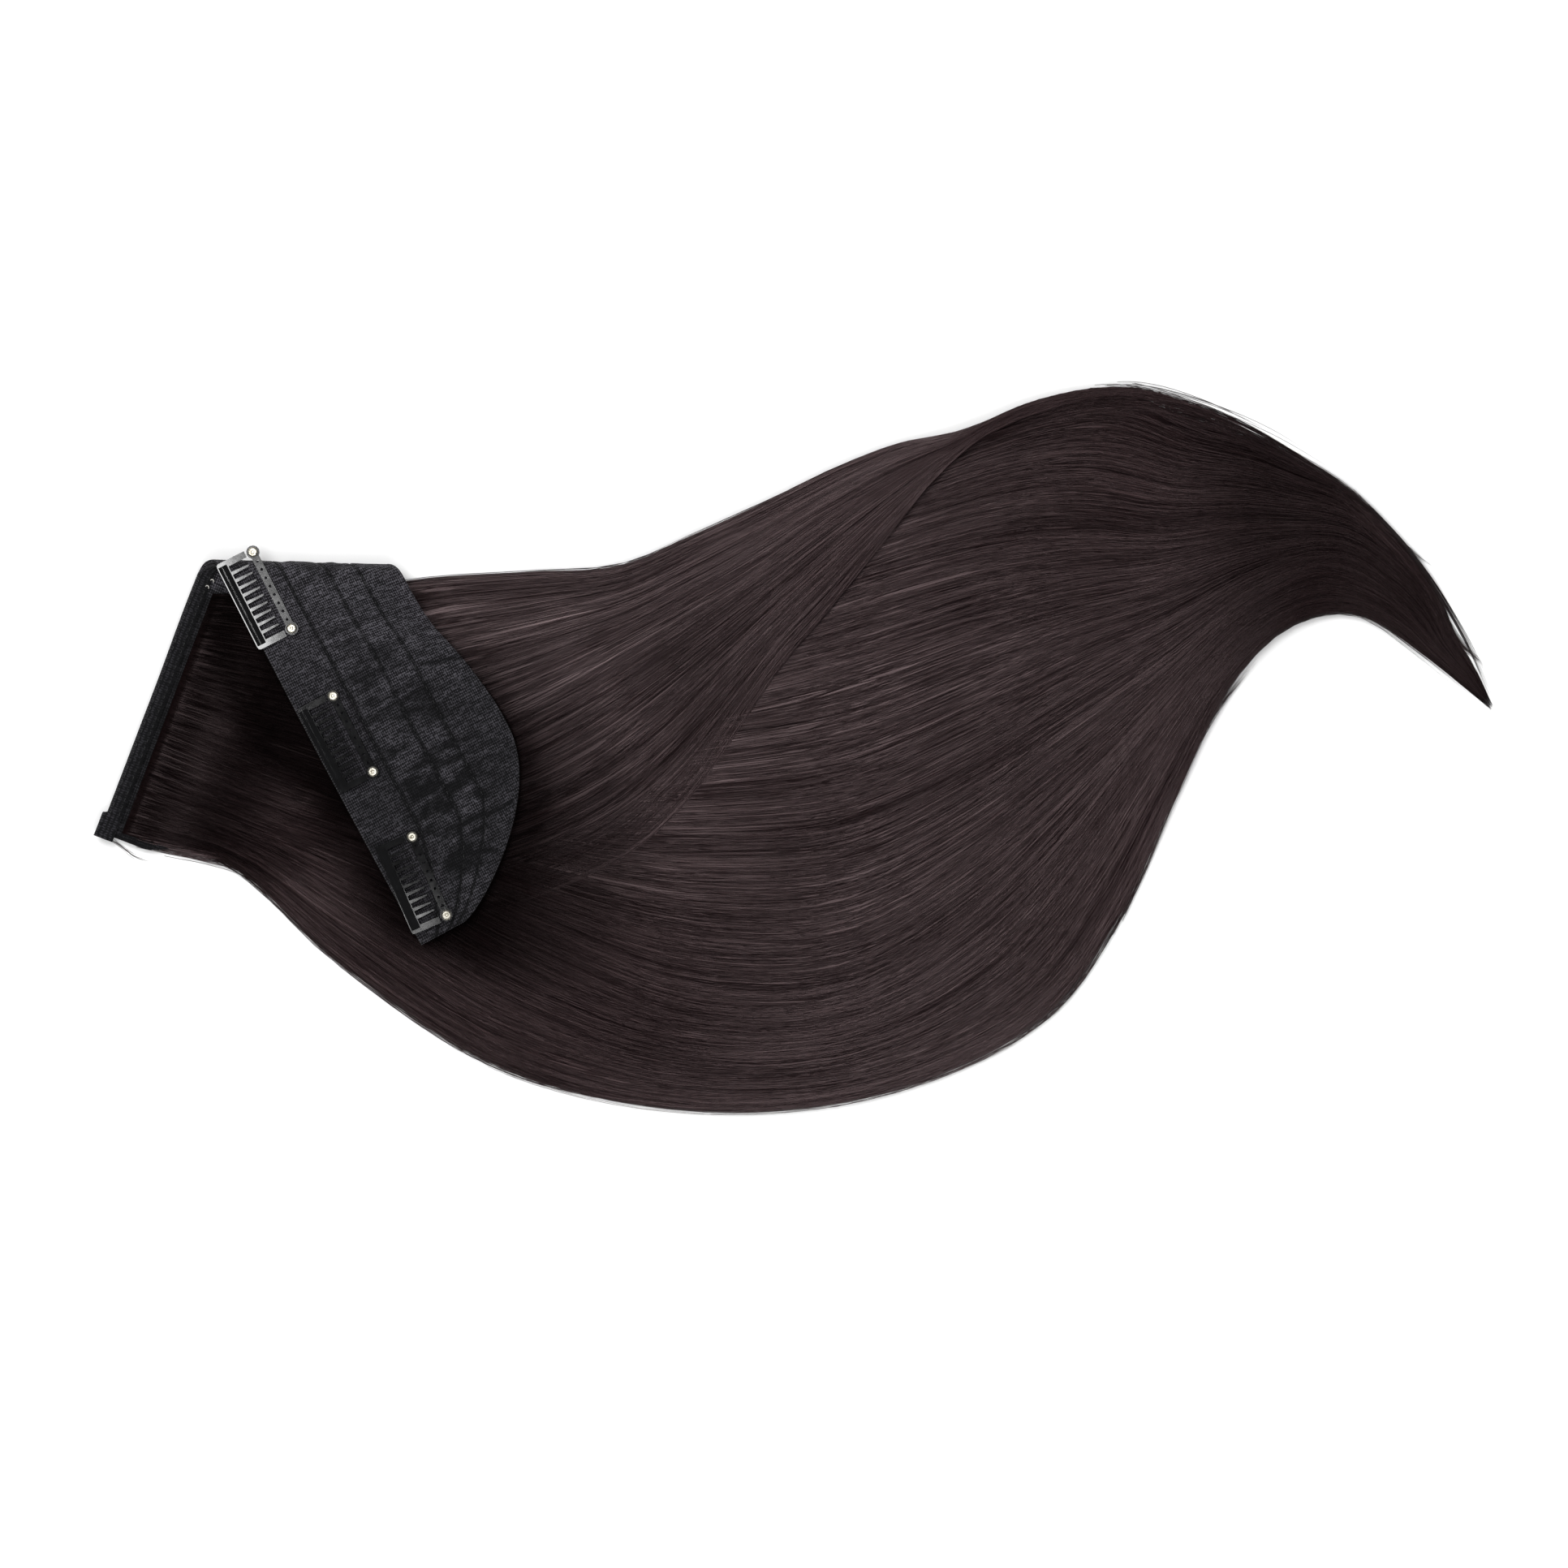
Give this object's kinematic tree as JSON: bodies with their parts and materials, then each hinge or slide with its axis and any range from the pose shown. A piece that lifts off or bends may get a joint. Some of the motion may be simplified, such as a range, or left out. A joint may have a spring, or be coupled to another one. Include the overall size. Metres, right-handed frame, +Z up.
{
  "type": "clip-in hair extension",
  "caption": "Long straight dark hair sewn to a D-shaped lace base with snap clips, lying flat with the base folded once.",
  "frame": {"origin": "middle of the footprint, on the surface that the hair lies on", "axes": "+X from the base towards the tip of the hair, +Y across it towards the crease of the base, +Z up"},
  "size_m": [0.4588, 0.2402, 0.0136],
  "materials": {
    "hair": "satin, combed fibre",
    "lace": "matt, woven and sewn",
    "tape": "matt, woven tape",
    "black_steel": "gloss lacquer",
    "rivet_steel": "bright plated"
  },
  "bodies": {
    "hairpiece": {"lace_base": "lace", "hem_tape": "tape", "hair_lower": "hair", "hair_upper": "hair", "clip_1_bar": "black_steel", "clip_1_rivet_a": "rivet_steel", "clip_1_rivet_b": "rivet_steel", "clip_2_bar": "black_steel", "clip_2_rivet_a": "rivet_steel", "clip_2_rivet_b": "rivet_steel", "clip_3_bar": "black_steel", "clip_3_rivet_a": "rivet_steel", "clip_3_rivet_b": "rivet_steel", "clip_4": "black_steel", "clip_5": "black_steel"},
    "comb_1": {"clip_1_comb": "black_steel"},
    "comb_2": {"clip_2_comb": "black_steel"},
    "comb_3": {"clip_3_comb": "black_steel"}
  },
  "joints": [
    {"name": "comb_1_snap", "type": "hinge", "parent": "hairpiece", "child": "comb_1", "pos_m": [-0.17333, 0.05061, 0.01248], "axis": [-0.4523, 0.8917, 0.0163], "range_deg": [0, 35]},
    {"name": "comb_2_snap", "type": "hinge", "parent": "hairpiece", "child": "comb_2", "pos_m": [-0.14696, 0.00361, 0.0116], "axis": [-0.4643, 0.8855, 0.016], "range_deg": [0, 35]},
    {"name": "comb_3_snap", "type": "hinge", "parent": "hairpiece", "child": "comb_3", "pos_m": [-0.12207, -0.04278, 0.01077], "axis": [-0.4011, 0.9159, 0.0163], "range_deg": [0, 35]}
  ]
}
